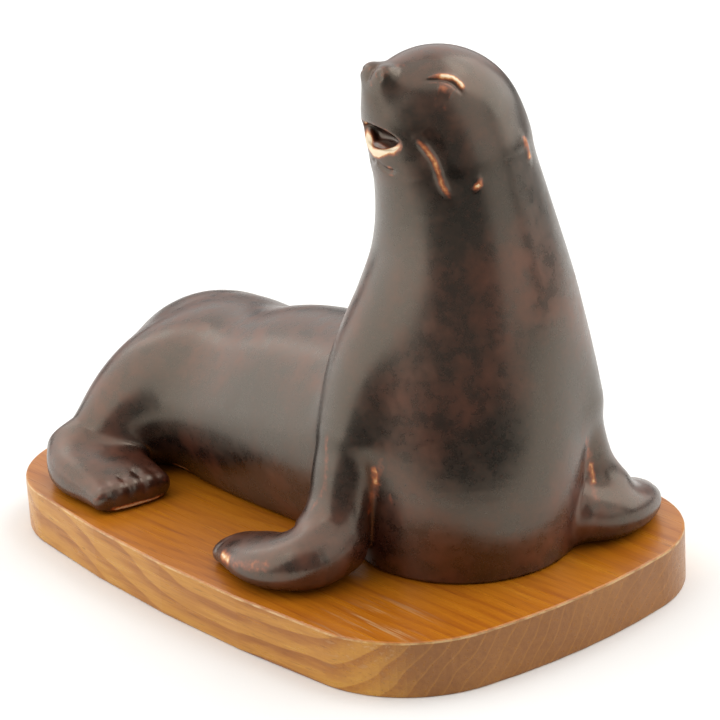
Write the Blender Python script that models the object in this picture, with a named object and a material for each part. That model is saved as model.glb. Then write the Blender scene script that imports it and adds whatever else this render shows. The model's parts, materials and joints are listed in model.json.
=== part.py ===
"""A sea lion cast in dark glazed stoneware, on a wooden plinth.

The origin is the centre of the plinth's underside. +X runs along the plinth to
the animal's chest, +Y across it and +Z up. The plinth is an extruded outline.
The figure is one solid, shaped the way a modeller builds it up in clay: rounded
forms are pressed together and their joints smoothed over, then the mouth, toes
and folds are tooled into the skin. Every form is a run of oval sections, or an
egg, and one distance function says how far a point lies from the skin.
"""

import math

import bmesh
import bpy
import numpy as np
import openvdb
from mathutils import Vector

MM = 0.001

# Plinth
PLINTH_LENGTH = 254.0 * MM
PLINTH_WIDTH = 166.4 * MM
PLINTH_THICKNESS = 20.0 * MM
PLINTH_CORNER_RADIUS = 44.7 * MM
PLINTH_SIDE_BOW_RADIUS = 682.0 * MM
PLINTH_END_BOW_RADIUS = 236.5 * MM
PLINTH_EDGE_ROUNDING = 0.8 * MM
ARC_STEP_DEGREES = 4.0

# The figure's foot stands this far above the wood
SEAT_GAP = 0.3 * MM

# Pose of the figure: headings are measured from +X, counterclockwise
CHEST_HEADING = math.radians(-24.3)
HEAD_HEADING = math.radians(-102.0)
HEAD_PITCH = math.radians(25.0)
CHEST_CENTRE = np.array([60.0, 6.0, 0.0]) * MM
CRANIUM_CENTRE = np.array([60.3, 5.6, 151.0]) * MM
CRANIUM_RADII = (28, 25.2, 24.5)

# Sections of the figure in millimetres: x, y and height above the foot, then
# the oval's half-width and half-height
TRUNK = (
    (-89, 9, 23, 34.5, 31),
    (-58, 7, 20, 40, 34),
    (-28, 6, 21, 41, 40.8),
    (4, 6, 24, 41.5, 43.8),
    (24, 6.5, 26, 42, 45.5),
    (40, 7, 28, 42, 48),
)
RUMP_DEPTH = 30.0 * MM
CHEST_AND_NECK = (
    (60, 6, -16, 36, 40),
    (60, 6, 0, 40, 43.5),
    (60.5, 6.5, 20, 42, 46.5),
    (61, 7, 40, 42.5, 46.5),
    (62.5, 8.5, 65, 41, 43),
    (64, 10.4, 87, 37.4, 38.5),
    (64, 10.4, 105, 33, 34),
    (62.9, 9.5, 123, 29.1, 30.1),
    (61.2, 8.1, 138, 26.9, 28.4),
)
NEAR_THIGH = (
    (-68, -6, 27, 28, 29),
    (-77, -20, 25, 24, 25.5),
    (-84, -38, 16, 18, 19),
    (-86, -49, 9.5, 14, 13.5),
)
NEAR_HIND_FLIPPER = (
    (-87, -54, 9, 14, 10.5),
    (-78, -58, 7.5, 16, 9.5),
    (-62, -58.5, 6, 16.5, 8),
    (-50, -59.5, 5, 16, 6),
)
FAR_THIGH = (
    (-76, 19, 21, 26, 26),
    (-85, 32, 17, 22.5, 23.5),
    (-89, 42, 12, 17, 17),
    (-90, 48, 8.5, 14, 13),
)
FAR_HIND_FLIPPER = (
    (-90, 50, 8.5, 14, 10.5),
    (-81, 54, 7.5, 15.5, 9.5),
    (-66, 55, 6, 16, 8),
    (-54, 56, 5, 15.5, 6),
)
NEAR_FORE_FLIPPER = (
    (54, -47, 13, 12, 12),
    (53, -58, 10, 14, 10.5),
    (43, -63, 7.5, 14.5, 8.5),
    (29, -62, 5.5, 13, 6.5),
    (20, -61, 4, 11, 5),
)
FAR_FORE_FLIPPER = (
    (94, 31, 11, 12, 11),
    (96, 39, 9, 13.5, 10),
    (94, 50, 7, 13.5, 8),
    (88, 59, 5.5, 12.5, 6.5),
    (83, 65, 4, 10, 5),
)

# Sections of both arms: out from the chest's middle plane, forward of its
# centre and height above the foot, then half-width and half-depth
NEAR_SHOULDER = (
    (18.5, 3, 88, 12, 16),
    (32, 5, 66, 13.5, 17),
    (38, 8, 48, 13, 15),
)
FAR_SHOULDER = (
    (19.5, 3, 88, 12, 16),
    (31, 5, 66, 13.3, 17),
    (36, 8, 48, 12.8, 15),
)
NEAR_FOREARM = (
    (38, 8, 50, 11.5, 14),
    (43, 10, 36, 11.5, 13.5),
    (47, 12, 22, 11, 13),
    (50, 13, 14, 11, 13),
)
FAR_FOREARM = (
    (35, 8, 50, 11.5, 14),
    (38, 10, 36, 11.5, 13.5),
    (42, 12, 22, 11, 13),
    (47, 13, 14, 11, 13),
)

# Eggs of the head: forward, to the animal's left and up from the cranium's
# centre, then the radii the same way
SNOUT = ((13.6, 0, 0.9), (15.3, 14.5, 12.4))
MUZZLE_TIP = ((25.2, 0, 4.6), (6.6, 8.2, 7))
NEAR_NOSE_PAD = ((28.3, 3.9, 7.4), (3.3, 3.6, 3.4))
FAR_NOSE_PAD = ((29.4, -3.9, 6.8), (3.3, 3.6, 3.6))
JAW = ((7.2, 0, -17), (11, 11.5, 8))
MOUTH_OPENING = ((21.8, 0, -12), (6.8, 13, 4.1))
TONGUE = ((13.5, 0, -14.8), (6.5, 8, 2.4))

# Half of the lower lip's rim, from its middle to the corner of the mouth, and
# the fold that runs back from it down the cheek, in the head's directions
LOWER_LIP = (
    (18.6, 0, -16.8, 1.5, 1.5),
    (18.3, 5, -15.8, 1.5, 1.5),
    (18.1, 9, -13.6, 1.4, 1.4),
    (18.3, 11.6, -10.7, 1.2, 1.2),
)
JOWL_FOLD = (
    (17.5, 16.6, -8.3),
    (14.3, 18.9, -10.6),
    (12.0, 20.4, -12.8),
    (7.4, 22.9, -17.9),
    (3.5, 24.8, -22.4),
)
JOWL_FOLD_WIDTH = 2.2 * MM
JOWL_FOLD_HEIGHT = 1.3 * MM

# Grooves between the toes of a hind flipper
TOE_GROOVES = 4
TOE_GROOVE_LENGTH = 14.0 * MM
TOE_GROOVE_WIDTH = 1.3 * MM
TOE_GROOVE_DEPTH = 1.1 * MM
TOE_GROOVE_OVERHANG = 6.0 * MM
TOE_GROOVE_ARCH = 0.35

# How far each form melts into the ones before it: the trunk is the first
TRUNK_JOINT = 0.1 * MM
NECK_JOINT = 8.0 * MM
NECK_CAP = 20.0 * MM
CRANIUM_JOINT = 10.0 * MM
SNOUT_JOINT = 7.0 * MM
MUZZLE_JOINT = 7.0 * MM
JAW_JOINT = 5.0 * MM
NOSE_PAD_JOINT = 4.0 * MM
THIGH_JOINT = 18.0 * MM
SHOULDER_JOINT = 18.0 * MM
FOREARM_JOINT = 4.0 * MM
HIND_FLIPPER_JOINT = 11.0 * MM
HIND_FLIPPER_CAP = 6.0 * MM
FORE_FLIPPER_JOINT = 8.0 * MM
FORE_FLIPPER_CAP = 8.0 * MM
MOUTH_EDGE = 1.5 * MM
LIP_JOINT = 2.0 * MM
FOOT_EDGE = 1.5 * MM

# Clay is sampled this finely, and the skin then keeps this share of its faces
CLAY_STEP = 2.0 * MM
SKIN_SHARE_KEPT = 0.11
SAMPLES_ALONG_FORM = 40
HIND_FLIPPER_POWER = 2.6
FORE_FLIPPER_POWER = 2.2
OUT_OF_REACH = 60.0 * MM

# Only samples this close to the skin are worked out exactly, the rest are read
# off a sparser grid
SPARSE_STRIDE = 3
SKIN_BAND = 9.0 * MM
KEPT_BEYOND_BAND = 1.3
SEARCH_MARGIN = 8.0 * MM
FACE_SEARCH_MARGIN = 4.0 * MM


def unit(vector):
    vector = np.asarray(vector, dtype=float)
    return vector / np.linalg.norm(vector)


UP = np.array([0.0, 0.0, 1.0])
CHEST_FORWARD = np.array([math.cos(CHEST_HEADING), math.sin(CHEST_HEADING), 0.0])
CHEST_LEFT = np.cross(UP, CHEST_FORWARD)
HEAD_FORWARD = np.array([
    math.cos(HEAD_PITCH) * math.cos(HEAD_HEADING),
    math.cos(HEAD_PITCH) * math.sin(HEAD_HEADING),
    math.sin(HEAD_PITCH),
])
HEAD_LEFT = unit(np.cross(UP, HEAD_FORWARD))
HEAD_UP = np.cross(HEAD_FORWARD, HEAD_LEFT)
HEAD_AXES = np.array([HEAD_FORWARD, HEAD_LEFT, HEAD_UP])


def in_head(rows, side=1):
    """Sections given in the head's directions, as sections of the figure."""
    placed = np.array(rows, dtype=float) * MM
    placed[:, 1] *= side
    placed[:, :3] = CRANIUM_CENTRE + placed[:, :3] @ HEAD_AXES
    return placed


def on_arm(rows, side):
    """Sections given out from and forward of the chest's centre."""
    placed = np.array(rows, dtype=float) * MM
    out, forward, height = placed[:, :3].T
    placed[:, :3] = (
        CHEST_CENTRE
        + side * out[:, None] * CHEST_LEFT
        + forward[:, None] * CHEST_FORWARD
        + height[:, None] * UP
    )
    return placed


def smooth_run(rows, count):
    """Rows read off a natural cubic spline through the given rows."""
    rows = np.asarray(rows, dtype=float)
    step = np.linalg.norm(np.diff(rows[:, :3], axis=0), axis=1)
    at = np.concatenate([[0.0], np.cumsum(step)])
    last = len(rows) - 1
    matrix = np.eye(len(rows))
    target = np.zeros_like(rows)
    for i in range(1, last):
        matrix[i, i - 1:i + 2] = step[i - 1], 2 * (step[i - 1] + step[i]), step[i]
        target[i] = 6 * ((rows[i + 1] - rows[i]) / step[i] - (rows[i] - rows[i - 1]) / step[i - 1])
    bend = np.linalg.solve(matrix, target)
    where = np.linspace(0.0, at[-1], count)
    k = np.clip(np.searchsorted(at, where, side="right") - 1, 0, last - 1)
    span = step[k][:, None]
    before = (at[k + 1] - where)[:, None]
    after = (where - at[k])[:, None]
    return (
        (bend[k] * before ** 3 + bend[k + 1] * after ** 3) / (6 * span)
        + (rows[k] / span - bend[k] * span / 6) * before
        + (rows[k + 1] / span - bend[k + 1] * span / 6) * after
    )


def nearest_on_run(points, centres):
    """Where along a line of centres each point lies, counted in centres."""
    best = np.full(len(points), np.inf)
    at = np.zeros(len(points))
    for i in range(len(centres) - 1):
        leg = centres[i + 1] - centres[i]
        t = np.clip((points - centres[i]) @ leg / (leg @ leg), 0.0, 1.0)
        offset = points - centres[i] - t[:, None] * leg
        distance = (offset * offset).sum(axis=1)
        closer = distance < best
        best[closer] = distance[closer]
        at[closer] = i + t[closer]
    return at


def oval_distance(offsets, radii, power=2.0):
    """Distance from an oval skin, negative inside, along rays from its centre."""
    reach = np.linalg.norm(offsets, axis=1)
    ratio = (np.abs(offsets / radii) ** power).sum(axis=1) ** (1 / power)
    return reach * (1 - 1 / np.maximum(ratio, 1e-4))


class Run:
    """A form swept through oval sections, whose heights point along up."""

    def __init__(self, rows, up=UP, power=2.0, cap=None):
        self.run = smooth_run(rows, SAMPLES_ALONG_FORM)
        ahead = np.gradient(self.run[:, :3], axis=0)
        ahead /= np.linalg.norm(ahead, axis=1)[:, None]
        self.table = np.concatenate([self.run, ahead], axis=1)
        self.up = up
        self.power = power
        self.cap = cap
        reach = self.run[:, 3:].max()
        self.low = self.run[:, :3].min(axis=0) - reach
        self.high = self.run[:, :3].max(axis=0) + reach

    def distance(self, points):
        centres = self.run[:, :3]
        pitch = np.linalg.norm(np.diff(centres, axis=0), axis=1).mean()
        last = len(centres) - 1

        def read(at):
            k = np.minimum(at.astype(int), last - 1)
            part = (at - k)[:, None]
            return self.table[k] * (1 - part) + self.table[k + 1] * part

        at = nearest_on_run(points, centres)
        for _ in range(3):
            row = read(at)
            slip = ((points - row[:, :3]) * row[:, 5:]).sum(axis=1)
            at = np.clip(at + 0.8 * slip / pitch, 0, last)
        row = read(at)
        forward = row[:, 5:] / np.linalg.norm(row[:, 5:], axis=1)[:, None]
        high = self.up - forward * (forward @ self.up)[:, None]
        high /= np.linalg.norm(high, axis=1)[:, None]
        wide = np.cross(forward, high)
        offset = points - row[:, :3]
        past_end = (at <= 0) | (at >= last)
        local = np.stack([
            (offset * wide).sum(axis=1),
            (offset * high).sum(axis=1),
            np.where(past_end, (offset * forward).sum(axis=1), 0.0),
        ], axis=1)
        cap = row[:, 3:5].min(axis=1) if self.cap is None else np.full(len(row), self.cap)
        radii = np.concatenate([row[:, 3:5], cap[:, None]], axis=1)
        return oval_distance(local, radii, self.power)


class Egg:
    """An egg of the head, with its radii along the head's directions."""

    def __init__(self, centre, radii):
        self.centre = CRANIUM_CENTRE + np.array(centre, dtype=float) * MM @ HEAD_AXES
        self.radii = np.array(radii, dtype=float) * MM
        self.low = self.centre - self.radii.max()
        self.high = self.centre + self.radii.max()

    def distance(self, points):
        return oval_distance((points - self.centre) @ HEAD_AXES.T, self.radii)


def smooth_union(a, b, radius):
    """The nearer of two distances, with the joint filled in over radius."""
    share = np.maximum(radius - np.abs(a - b), 0.0) / radius
    return np.minimum(a, b) - share ** 3 * radius / 6


def smooth_cut(a, b, radius):
    """What is left of a when b is taken away, with its edges eased."""
    return -smooth_union(-a, b, radius)


def near(points, form, margin):
    low = form.low - margin
    high = form.high + margin
    return np.flatnonzero(((points > low) & (points < high)).all(axis=1))


def body_forms():
    """Each form of the body with the radius its joint is smoothed over."""
    forms = [
        (Run(np.array(TRUNK) * MM, cap=RUMP_DEPTH), TRUNK_JOINT),
        (Run(np.array(CHEST_AND_NECK) * MM, up=CHEST_FORWARD, cap=NECK_CAP), NECK_JOINT),
        (Egg((0, 0, 0), CRANIUM_RADII), CRANIUM_JOINT),
        (Egg(*SNOUT), SNOUT_JOINT),
        (Egg(*MUZZLE_TIP), MUZZLE_JOINT),
        (Egg(*JAW), JAW_JOINT),
        (Egg(*NEAR_NOSE_PAD), NOSE_PAD_JOINT),
        (Egg(*FAR_NOSE_PAD), NOSE_PAD_JOINT),
    ]
    for thigh, flipper in ((NEAR_THIGH, NEAR_HIND_FLIPPER), (FAR_THIGH, FAR_HIND_FLIPPER)):
        forms.append((Run(np.array(thigh) * MM), THIGH_JOINT))
        hind = Run(np.array(flipper) * MM, power=HIND_FLIPPER_POWER, cap=HIND_FLIPPER_CAP)
        forms.append((hind, HIND_FLIPPER_JOINT))
    arms = (
        (-1, NEAR_SHOULDER, NEAR_FOREARM, NEAR_FORE_FLIPPER),
        (1, FAR_SHOULDER, FAR_FOREARM, FAR_FORE_FLIPPER),
    )
    for side, shoulder, forearm, flipper in arms:
        forms.append((Run(on_arm(shoulder, side), up=CHEST_FORWARD), SHOULDER_JOINT))
        forms.append((Run(on_arm(forearm, side), up=CHEST_FORWARD), FOREARM_JOINT))
        fore = Run(np.array(flipper) * MM, power=FORE_FLIPPER_POWER, cap=FORE_FLIPPER_CAP)
        forms.append((fore, FORE_FLIPPER_JOINT))
    return forms


def line_relief(points, line, width):
    """1 on a line drawn over the skin, easing to 0 over its width."""
    relief = np.zeros(len(points))
    low = line.min(axis=0) - 3 * width
    high = line.max(axis=0) + 3 * width
    k = np.flatnonzero(((points > low) & (points < high)).all(axis=1))
    at = nearest_on_run(points[k], line)
    i = np.minimum(at.astype(int), len(line) - 2)
    part = (at - i)[:, None]
    foot = line[i] * (1 - part) + line[i + 1] * part
    away = np.linalg.norm(points[k] - foot, axis=1)
    share = at / (len(line) - 1)
    relief[k] = np.exp(-(away / width) ** 2) * np.minimum(1, 5 * np.minimum(share, 1 - share) + 0.2)
    return relief


def toe_lines(flipper):
    """Lines between the toes, running back from the end of a hind flipper."""
    run = smooth_run(np.array(flipper) * MM, SAMPLES_ALONG_FORM)
    tip = run[-1]
    ahead = unit(run[-1, :3] - run[-4, :3])
    across = np.cross(ahead, UP)
    lines = []
    for i in range(TOE_GROOVES):
        share = 2 * (i + 1) / (TOE_GROOVES + 1) - 1
        start = tip[:3] + share * tip[3] * across + ahead * TOE_GROOVE_OVERHANG
        end = start - ahead * TOE_GROOVE_LENGTH + UP * tip[4]
        middle = (start + end) / 2 + UP * tip[4] * TOE_GROOVE_ARCH
        lines.append(np.array([start, middle, end]))
    return lines


def laid_on(distance, line):
    """A line of points, each moved to where the distance is nothing."""
    probe = 0.2 * MM
    line = np.array(line)
    for _ in range(4):
        slope = np.stack([
            (distance(line + probe * axis) - distance(line - probe * axis)) / (2 * probe)
            for axis in np.eye(3)
        ], axis=1)
        line -= (distance(line) / (slope * slope).sum(axis=1))[:, None] * slope
    return line


class Figure:
    """The casting: its forms, and the lines tooled into its skin."""

    def __init__(self):
        self.forms = body_forms()
        self.mouth = Egg(*MOUTH_OPENING)
        self.tongue = Egg(*TONGUE)
        self.lips = [Run(in_head(LOWER_LIP, side)) for side in (1, -1)]
        self.folds = [
            laid_on(self.body, smooth_run(in_head(JOWL_FOLD, side), SAMPLES_ALONG_FORM))
            for side in (1, -1)
        ]
        self.grooves = [
            laid_on(self.body, smooth_run(line, SAMPLES_ALONG_FORM))
            for flipper in (NEAR_HIND_FLIPPER, FAR_HIND_FLIPPER)
            for line in toe_lines(flipper)
        ]

    def body(self, points):
        """How far points lie outside the skin before it is tooled."""
        skin = np.full(len(points), OUT_OF_REACH)
        for form, radius in self.forms:
            k = near(points, form, radius + SEARCH_MARGIN)
            skin[k] = smooth_union(skin[k], form.distance(points[k]), radius)
        k = near(points, self.mouth, FACE_SEARCH_MARGIN)
        skin[k] = smooth_cut(skin[k], self.mouth.distance(points[k]), MOUTH_EDGE)
        k = near(points, self.tongue, FACE_SEARCH_MARGIN)
        skin[k] = smooth_union(skin[k], self.tongue.distance(points[k]), MOUTH_EDGE)
        for lip in self.lips:
            k = near(points, lip, FACE_SEARCH_MARGIN)
            skin[k] = smooth_union(skin[k], lip.distance(points[k]), LIP_JOINT)
        return skin

    def skin(self, points):
        """How far points lie outside the finished skin."""
        skin = self.body(points)
        for fold in self.folds:
            skin -= JOWL_FOLD_HEIGHT * line_relief(points, fold, JOWL_FOLD_WIDTH)
        for groove in self.grooves:
            skin += TOE_GROOVE_DEPTH * line_relief(points, groove, TOE_GROOVE_WIDTH)
        return smooth_cut(skin, points[:, 2], FOOT_EDGE)


def filled_in(field, stride):
    """A sparse grid with stride samples for each one it had, read off straight."""
    for axis in range(3):
        count = field.shape[axis]
        at = np.arange((count - 1) * stride + 1) / stride
        k = np.minimum(at.astype(int), count - 2)
        part = (at - k).reshape([-1 if i == axis else 1 for i in range(3)])
        field = np.take(field, k, axis) * (1 - part) + np.take(field, k + 1, axis) * part
    return field


def grid_points(low, counts, step):
    axes = [low[i] + step * np.arange(counts[i]) for i in range(3)]
    return np.stack(np.meshgrid(*axes, indexing="ij"), axis=-1).reshape(-1, 3)


def sample_figure(step):
    """The distance to the skin on a grid that holds the whole figure."""
    figure = Figure()
    low = np.min([form.low for form, radius in figure.forms], axis=0)
    high = np.max([form.high for form, radius in figure.forms], axis=0)
    low[2] = -2.5 * step
    low = low - (2 * step, 2 * step, 0)
    wide = SPARSE_STRIDE * step
    sparse_counts = np.ceil((high + 3 * step - low) / wide).astype(int) + 1
    sparse = figure.skin(grid_points(low, sparse_counts, wide)).reshape(sparse_counts)
    limit = KEPT_BEYOND_BAND * SKIN_BAND
    field = filled_in(np.clip(sparse, -limit, limit), SPARSE_STRIDE)
    points = grid_points(low, field.shape, step)
    close = np.flatnonzero(np.abs(field.ravel()) < SKIN_BAND)
    field.ravel()[close] = figure.skin(points[close])
    return low, field


def skin_mesh(name, step):
    """The figure's skin as a closed mesh of even quads, its foot at zero."""
    low, field = sample_figure(step)
    grid = openvdb.FloatGrid()
    grid.copyFromArray(field)
    corners, quads = grid.convertToQuads(isovalue=0.0)
    corners = corners * step + low
    corners[np.abs(corners[:, 2]) < 0.3 * step, 2] = 0.0
    mesh = bpy.data.meshes.new(name)
    mesh.from_pydata(corners.tolist(), [], quads.tolist())
    shell = bmesh.new()
    shell.from_mesh(mesh)
    bmesh.ops.recalc_face_normals(shell, faces=shell.faces)
    shell.to_mesh(mesh)
    shell.free()
    return mesh


def bowed_outline(length, width, corner, side_bow, end_bow):
    """A rectangle with bowed sides and round corners, counterclockwise.

    Shrunk by the corner radius, the sides are four arcs that meet at sharp
    corners. Each arc grows back by that radius, and an arc about each corner
    joins them.
    """
    corner = min(corner, 0.95 * width / 2, 0.95 * length / 2)
    side_centre = width / 2 - side_bow
    end_centre = length / 2 - end_bow
    side_inner = side_bow - corner
    end_inner = end_bow - corner
    apart = math.hypot(end_centre, side_centre)
    along = (side_inner ** 2 - end_inner ** 2 + apart ** 2) / (2 * apart)
    off = math.sqrt(side_inner ** 2 - along ** 2)
    toward = Vector((end_centre, -side_centre)) / apart
    base = Vector((0.0, side_centre)) + along * toward
    square = Vector((-toward.y, toward.x))
    meeting = max((base + off * square, base - off * square), key=lambda p: p.x + p.y)
    end_angle = math.atan2(meeting.y, meeting.x - end_centre)
    side_angle = math.atan2(meeting.y - side_centre, meeting.x)

    def arc(centre, radius, start, stop):
        count = max(2, math.ceil(math.degrees(stop - start) / ARC_STEP_DEGREES))
        return [
            Vector(centre) + radius * Vector((math.cos(a), math.sin(a)))
            for a in np.linspace(start, stop, count + 1)
        ]

    quarter = (
        arc((end_centre, 0.0), end_bow, 0.0, end_angle)
        + arc(meeting, corner, end_angle, side_angle)[1:]
        + arc((0.0, side_centre), side_bow, side_angle, math.pi / 2)[1:]
    )
    outline = []
    for flip in ((1, 1), (-1, 1), (-1, -1), (1, -1)):
        turned = [Vector((p.x * flip[0], p.y * flip[1])) for p in quarter]
        outline += (turned if flip[0] * flip[1] > 0 else turned[::-1])[:-1]
    return outline


def make_material(name, colour, roughness, metallic=0.0):
    material = bpy.data.materials.new(name)
    material.use_nodes = True
    shader = material.node_tree.nodes["Principled BSDF"]
    shader.inputs["Base Color"].default_value = (*colour, 1.0)
    shader.inputs["Roughness"].default_value = roughness
    shader.inputs["Metallic"].default_value = metallic
    material.diffuse_color = (*colour, 1.0)
    return material


def place(name, mesh, material):
    piece = bpy.data.objects.new(name, mesh)
    mesh.materials.append(material)
    bpy.context.scene.collection.objects.link(piece)
    return piece


def make_plinth():
    """A board sawn to the outline, with its edges taken off."""
    outline = bowed_outline(
        PLINTH_LENGTH,
        PLINTH_WIDTH,
        PLINTH_CORNER_RADIUS,
        PLINTH_SIDE_BOW_RADIUS,
        PLINTH_END_BOW_RADIUS,
    )
    board = bmesh.new()
    underside = board.faces.new([board.verts.new((p.x, p.y, 0.0)) for p in outline])
    raised = bmesh.ops.extrude_face_region(board, geom=[underside])["geom"]
    top = [v for v in raised if isinstance(v, bmesh.types.BMVert)]
    bmesh.ops.translate(board, verts=top, vec=(0.0, 0.0, PLINTH_THICKNESS))
    bmesh.ops.recalc_face_normals(board, faces=board.faces)
    mesh = bpy.data.meshes.new("wooden_base")
    board.to_mesh(mesh)
    board.free()
    piece = place("wooden_base", mesh, make_material("lacquered_teak", (0.42, 0.17, 0.035), 0.4))
    edge = piece.modifiers.new("worn edge", "BEVEL")
    edge.width = PLINTH_EDGE_ROUNDING
    edge.segments = 2
    edge.limit_method = "ANGLE"
    edge.angle_limit = math.radians(60)
    return piece


def make_figure():
    """The casting, set down on the plinth."""
    mesh = skin_mesh("seal_figure", CLAY_STEP)
    mesh.shade_smooth()
    piece = place("seal_figure", mesh, make_material("glazed_stoneware", (0.032, 0.016, 0.011), 0.28))
    piece.location.z = PLINTH_THICKNESS + SEAT_GAP
    thinned = piece.modifiers.new("fewer faces", "DECIMATE")
    thinned.ratio = SKIN_SHARE_KEPT
    return piece


def build():
    for old in list(bpy.data.objects):
        bpy.data.objects.remove(old, do_unlink=True)
    make_plinth()
    make_figure()


build()
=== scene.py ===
# %% [markdown]
# # A glazed stoneware sea lion on a teak plinth
# The object is a small cast ornament: a sea lion with its head turned over its shoulder, glazed
# dark brown, standing on a lacquered board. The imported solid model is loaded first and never
# moves. The figure is then modelled again with a finer skin, because a glossy glaze shows every
# facet, and the board keeps its solid and gets its wood.

# %% Load the solid model
import json
import math

import bmesh
import bpy
import numpy as np
import openvdb
from mathutils import Matrix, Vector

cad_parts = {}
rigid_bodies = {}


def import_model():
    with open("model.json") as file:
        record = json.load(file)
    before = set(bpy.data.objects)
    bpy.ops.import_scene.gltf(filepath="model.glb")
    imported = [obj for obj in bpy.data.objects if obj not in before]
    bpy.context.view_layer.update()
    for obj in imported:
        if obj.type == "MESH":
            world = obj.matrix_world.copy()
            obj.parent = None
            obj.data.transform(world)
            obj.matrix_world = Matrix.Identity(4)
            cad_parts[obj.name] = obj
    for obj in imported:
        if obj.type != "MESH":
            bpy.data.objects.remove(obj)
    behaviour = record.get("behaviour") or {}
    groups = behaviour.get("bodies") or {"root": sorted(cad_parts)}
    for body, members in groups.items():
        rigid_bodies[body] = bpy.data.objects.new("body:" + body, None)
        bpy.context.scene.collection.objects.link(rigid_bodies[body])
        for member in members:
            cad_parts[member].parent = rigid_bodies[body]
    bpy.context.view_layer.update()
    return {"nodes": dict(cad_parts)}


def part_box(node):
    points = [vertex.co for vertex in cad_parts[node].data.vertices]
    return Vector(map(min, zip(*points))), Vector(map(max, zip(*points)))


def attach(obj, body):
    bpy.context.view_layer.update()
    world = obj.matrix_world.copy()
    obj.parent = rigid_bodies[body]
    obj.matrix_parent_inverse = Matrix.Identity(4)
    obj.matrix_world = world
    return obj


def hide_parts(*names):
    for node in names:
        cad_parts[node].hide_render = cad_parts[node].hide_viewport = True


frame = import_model()
SEAT_GAP = 0.0003
foot_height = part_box("wooden_base")[1].z + SEAT_GAP
print("solids:", sorted(frame["nodes"]), "foot at", round(foot_height * 1000, 2), "mm")

MM = 0.001

# %% [markdown]
# The camera stands a metre away, a little to the right of the animal's chest, and looks down 20
# degrees through a long lens. Its place was worked out from the plinth: an outline of known
# proportions fixes the distance, the tilt and the lens. A matrix made from its own three axes
# says all of that without any angles.

# %% Camera
CAMERA_PLACE = (0.715333, -0.557037, 0.402790)
CAMERA_RIGHT = (0.63768, 0.76822, -0.05652)
CAMERA_UP = (-0.23057, 0.26038, 0.93757)
CAMERA_BACK = (0.73498, -0.58484, 0.34317)
FOCAL_LENGTH_MM = 133.65

camera = bpy.data.objects.new("camera", bpy.data.cameras.new("camera"))
camera.data.lens = FOCAL_LENGTH_MM
camera.data.sensor_width = 36.0
camera.data.clip_start = 0.01
camera.data.clip_end = 20.0
camera.matrix_world = Matrix((
    (CAMERA_RIGHT[0], CAMERA_UP[0], CAMERA_BACK[0], CAMERA_PLACE[0]),
    (CAMERA_RIGHT[1], CAMERA_UP[1], CAMERA_BACK[1], CAMERA_PLACE[1]),
    (CAMERA_RIGHT[2], CAMERA_UP[2], CAMERA_BACK[2], CAMERA_PLACE[2]),
    (0.0, 0.0, 0.0, 1.0),
))
bpy.context.scene.collection.objects.link(camera)
bpy.context.scene.camera = camera
print("camera", FOCAL_LENGTH_MM, "mm lens")

# %% [markdown]
# ## The clay
# A modeller builds such an animal from rolls and eggs of clay, presses them together and smooths
# the joints. A distance function does the same: each form says how far a point lies outside it,
# and a smooth minimum of two distances fills the joint. The surface is where the total is zero.
# It gives soft, continuous skin that subdivided boxes can't, and every measure stays a number.

# %% Measures of the figure, in millimetres
CHEST_HEADING = math.radians(-24.3)
HEAD_HEADING = math.radians(-102.0)
HEAD_PITCH = math.radians(25.0)
CHEST_CENTRE = np.array([60.0, 6.0, 0.0]) * MM
CRANIUM_CENTRE = np.array([60.3, 5.6, 151.0]) * MM
CRANIUM_RADII = (28, 25.2, 24.5)

# How wide the joints are smoothed, how far the ends of a run are rounded, and how square an oval is
TRUNK_JOINT = 0.1 * MM
RUMP_DEPTH = 30.0 * MM
NECK_JOINT = 8.0 * MM
NECK_CAP = 20.0 * MM
CRANIUM_JOINT = 10.0 * MM
SNOUT_JOINT = 7.0 * MM
MUZZLE_JOINT = 7.0 * MM
JAW_JOINT = 5.0 * MM
NOSE_PAD_JOINT = 4.0 * MM
MOUTH_JOINT = 1.5 * MM
TONGUE_JOINT = 1.5 * MM
LIP_JOINT = 2.0 * MM
SHOULDER_JOINT = 18.0 * MM
FOREARM_JOINT = 4.0 * MM
FORE_FLIPPER_JOINT = 8.0 * MM
FORE_FLIPPER_CAP = 8.0 * MM
FORE_FLIPPER_POWER = 2.2
THIGH_JOINT = 22.0 * MM
HIND_FLIPPER_JOINT = 11.0 * MM
HIND_FLIPPER_CAP = 6.0 * MM
HIND_FLIPPER_POWER = 2.6
FOOT_JOINT = 1.5 * MM

# x, y and height above the foot, then the oval's half-width and half-height
TRUNK = (
    (-89, 9, 23, 34.5, 31),
    (-58, 7, 20, 40, 36),
    (-28, 6, 21, 41, 42.2),
    (4, 6, 24, 41.5, 43.8),
    (24, 6.5, 26, 42, 45.5),
    (40, 7, 28, 42, 48),
)
CHEST_AND_NECK = (
    (60, 6, -16, 36, 40),
    (60, 6, 0, 40, 43.5),
    (60.5, 6.5, 20, 42, 46.5),
    (61, 7, 40, 42.5, 46.5),
    (62.5, 8.5, 65, 41, 43),
    (64, 10.4, 87, 37.4, 38.5),
    (64, 10.4, 105, 33, 34),
    (62.9, 9.5, 123, 29.1, 30.1),
    (61.2, 8.1, 138, 26.9, 28.4),
)
NEAR_THIGH = (
    (-68, -6, 26, 28, 28),
    (-77, -20, 25, 24, 25.5),
    (-84, -38, 16, 18, 19),
    (-86, -49, 9.5, 14, 13.5),
)
NEAR_HIND_FLIPPER = (
    (-87, -54, 9, 14, 10.5),
    (-78, -58, 7.5, 16, 9.5),
    (-62, -58.5, 6, 16.5, 8),
    (-50, -59.5, 5, 16, 6),
)
FAR_THIGH = (
    (-76, 19, 21, 26, 26),
    (-85, 32, 17, 22.5, 23.5),
    (-89, 42, 12, 17, 17),
    (-90, 48, 8.5, 14, 13),
)
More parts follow.
